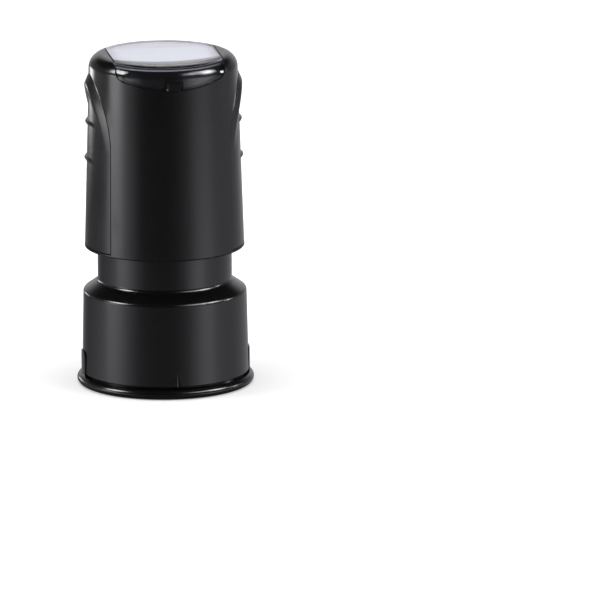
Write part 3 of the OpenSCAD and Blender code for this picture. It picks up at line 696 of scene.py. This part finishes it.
def add_panel(name, turn, tilt, wide, high, distance, radiance, fade):
    """Softbox face on a sphere round the handle, brightest in its middle and fading to its edges. It
    shows in gloss only."""
    rows, cols = 33, 17
    u, v = np.meshgrid(np.linspace(-1, 1, rows), np.linspace(-1, 1, cols), indexing="ij")
    around, up = np.radians(CAMERA["azimuth"] + turn + u * wide / 2), np.radians(tilt + v * high / 2)
    shape = np.stack([np.sin(around) * np.cos(up), -np.cos(around) * np.cos(up), np.sin(up)], -1)
    panel = surface(name, shape * distance + (0, 0, HANDLE_MIDDLE), grid_faces(rows, cols))
    edge = np.clip((1 - np.abs(u)) / fade, 0, 1) * np.clip((1 - np.abs(v)) / fade, 0, 1)
    glow = panel.data.attributes.new("glow", "FLOAT", "POINT")
    glow.data.foreach_set("value", (edge * edge * (3 - 2 * edge)).ravel())
    made, tree, _ = new_material("Softbox face, " + name)
    glow = add_node(tree, "ShaderNodeAttribute", attribute_name="glow").outputs["Fac"]
    clear = add_node(tree, "ShaderNodeBsdfTransparent")
    light = add_node(tree, "ShaderNodeEmission", {"Strength": radiance})
    both = add_node(tree, "ShaderNodeMixShader", {0: glow, 1: clear.outputs[0], 2: light.outputs[0]})
    add_node(tree, "ShaderNodeOutputMaterial", {"Surface": both.outputs[0]})
    panel.data.materials.append(made)
    panel.visible_transmission = False
    only_mirrored(panel)


def seen(tree, *ways):
    """One where a ray is of one of these kinds, and nought elsewhere."""
    path = add_node(tree, "ShaderNodeLightPath").outputs
    fac = path[ways[0]]
    for way in ways[1:]:
        fac = add_node(tree, "ShaderNodeMath", {0: fac, 1: path[way]}, operation="MAXIMUM").outputs[0]
    return fac


class STAMP_OT_stage(bpy.types.Operator):
    """Camera, soft studio light, pale floor and the dark and light walls that the plastic mirrors"""
    bl_idname = "stamp.stage"
    bl_label = "Stage"

    def execute(self, context):
        scene = context.scene
        scene.view_settings.view_transform = "Standard"
        add_camera()
        for name, sizes in LAMPS.items():
            add_lamp(name, *sizes)

        # Even fill from the room, white to the camera. The bowl stands before it in gloss and clear plastic
        world = bpy.data.worlds.new("room")
        world.use_nodes = True
        tree = world.node_tree
        tree.nodes.clear()
        level = add_node(tree, "ShaderNodeMapRange", {
            "Value": seen(tree, "Is Camera Ray", "Is Glossy Ray", "Is Transmission Ray"),
            "To Min": ROOM_FILL, "To Max": 1.0})
        glow = add_node(tree, "ShaderNodeBackground", {"Color": (1, 1, 1, 1),
                                                       "Strength": level.outputs["Result"]})
        add_node(tree, "ShaderNodeOutputWorld", {"Surface": glow.outputs["Background"]})
        scene.world = world

        # White floor that keeps the stamp's shadow. Gloss and clear plastic show the bowl's foot instead
        rim = [(0, -FLOOR["under"]), (FLOOR["radius"], -FLOOR["under"])]
        floor = surface("floor", revolve(rim, 96), grid_faces(2, 96, True))
        made, tree, place = new_material("Paper sweep, white")
        out = add_node(tree, "ShaderNodeVectorMath", {0: place}, operation="LENGTH").outputs["Value"]
        even = add_node(tree, "ShaderNodeMapRange", {
            "Value": out, "From Min": FLOOR["radii"][0] * MM, "From Max": FLOOR["radii"][1] * MM,
            "To Min": FLOOR["glow"][0], "To Max": FLOOR["glow"][1]})
        lift = add_node(tree, "ShaderNodeMath", {0: seen(tree, "Is Camera Ray", "Is Glossy Ray"),
                                                 1: even.outputs["Result"]}, operation="MULTIPLY").outputs[0]
        matt = add_node(tree, "ShaderNodeBsdfDiffuse", {"Color": (*[FLOOR["grey"]] * 3, 1)})
        glow = add_node(tree, "ShaderNodeEmission", {"Strength": lift})
        both = add_node(tree, "ShaderNodeAddShader", {0: matt.outputs[0], 1: glow.outputs[0]})
        add_node(tree, "ShaderNodeOutputMaterial", {"Surface": both.outputs[0]})
        floor.data.materials.append(made)
        floor.visible_glossy = False
        floor.visible_transmission = False
        add_bowl()
        for name, sizes in PANELS.items():
            add_panel(name, *sizes)
        return {"FINISHED"}


class STAMP_PT_panel(bpy.types.Panel):
    """Sidebar panel that lists the stamp's operators"""
    bl_idname = "STAMP_PT_panel"
    bl_label = "Hand stamp"
    bl_space_type = "VIEW_3D"
    bl_region_type = "UI"
    bl_category = "Hand stamp"

    def draw(self, context):
        for operator in OPERATORS:
            self.layout.operator(operator.bl_idname)


OPERATORS = (STAMP_OT_stage, STAMP_OT_housing, STAMP_OT_grips, STAMP_OT_window, STAMP_OT_spring,
             STAMP_OT_plunger, STAMP_OT_die)
CLASSES = (StampSizes, StampColours, *OPERATORS, STAMP_PT_panel)


def register():
    for c in CLASSES:
        bpy.utils.register_class(c)
    bpy.types.Scene.stamp_sizes = PointerProperty(type=StampSizes)
    bpy.types.Scene.stamp_colours = PointerProperty(type=StampColours)


def unregister():
    del bpy.types.Scene.stamp_colours
    del bpy.types.Scene.stamp_sizes
    for c in reversed(CLASSES):
        bpy.utils.unregister_class(c)


def main():
    register()
    bpy.ops.stamp.stage()
    bpy.ops.stamp.housing()
    bpy.ops.stamp.grips()
    bpy.ops.stamp.window()
    bpy.ops.stamp.spring()
    bpy.ops.stamp.plunger()
    bpy.ops.stamp.die()


if __name__ == "__main__":
    main()
